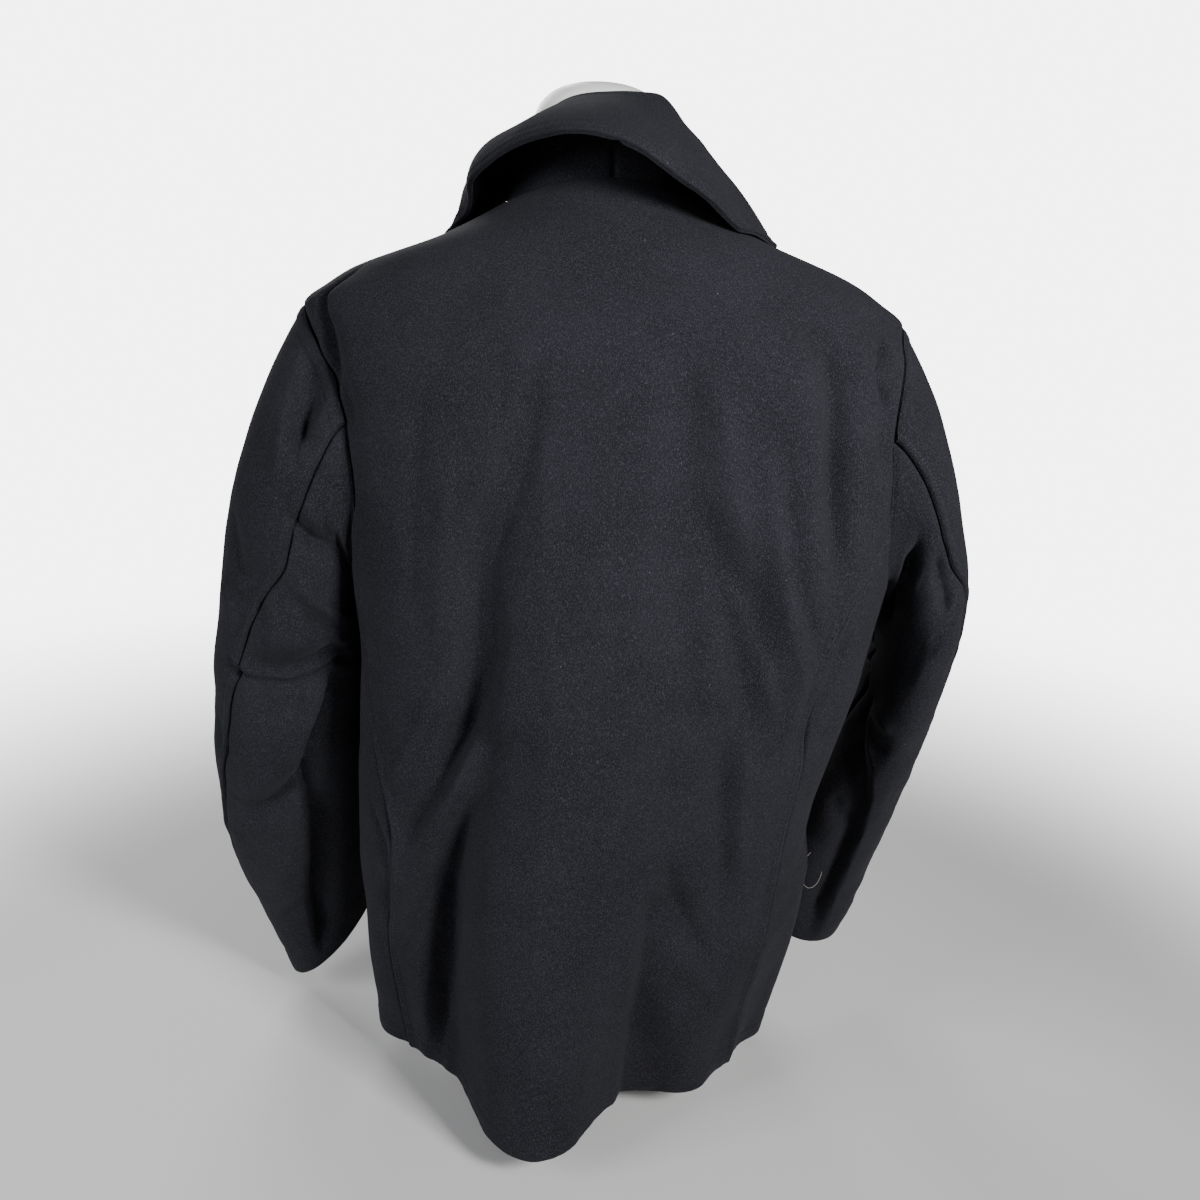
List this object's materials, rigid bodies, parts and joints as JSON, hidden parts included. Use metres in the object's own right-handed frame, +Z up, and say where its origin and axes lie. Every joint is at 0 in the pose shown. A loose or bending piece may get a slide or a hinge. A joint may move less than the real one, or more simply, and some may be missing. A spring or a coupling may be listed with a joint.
{
  "type": "pea coat on a torso form",
  "caption": "Hip-length double-breasted wool pea coat with wide notched lapels and a turned-up collar, closed and standing on a plain limbless torso form.",
  "frame": {"origin": "on the flat base of the torso form, under the middle of the neck, at floor level", "axes": "+Z up, +X towards the wearer's left, +Y out of the wearer's back"},
  "size_m": [0.6545, 0.3476, 0.8655],
  "materials": {
    "melton": "heavy napped navy wool melton",
    "button_plastic": "black moulded plastic, softly polished",
    "form_shell": "smooth white shell"
  },
  "bodies": {
    "root": {"torso_form": "form_shell", "back": "melton", "side_left": "melton", "side_right": "melton", "front_left": "melton", "front_right": "melton", "lapel_left": "melton", "lapel_right": "melton", "sleeve_left_under": "melton", "sleeve_left_top": "melton", "sleeve_right_under": "melton", "sleeve_right_top": "melton", "collar_upper": "melton", "collar_under_left": "melton", "collar_under_right": "melton", "welt_left": "melton", "welt_right": "melton", "button_1": "button_plastic", "button_2": "button_plastic", "button_3": "button_plastic", "button_4": "button_plastic", "button_5": "button_plastic", "button_6": "button_plastic"}
  },
  "joints": []
}
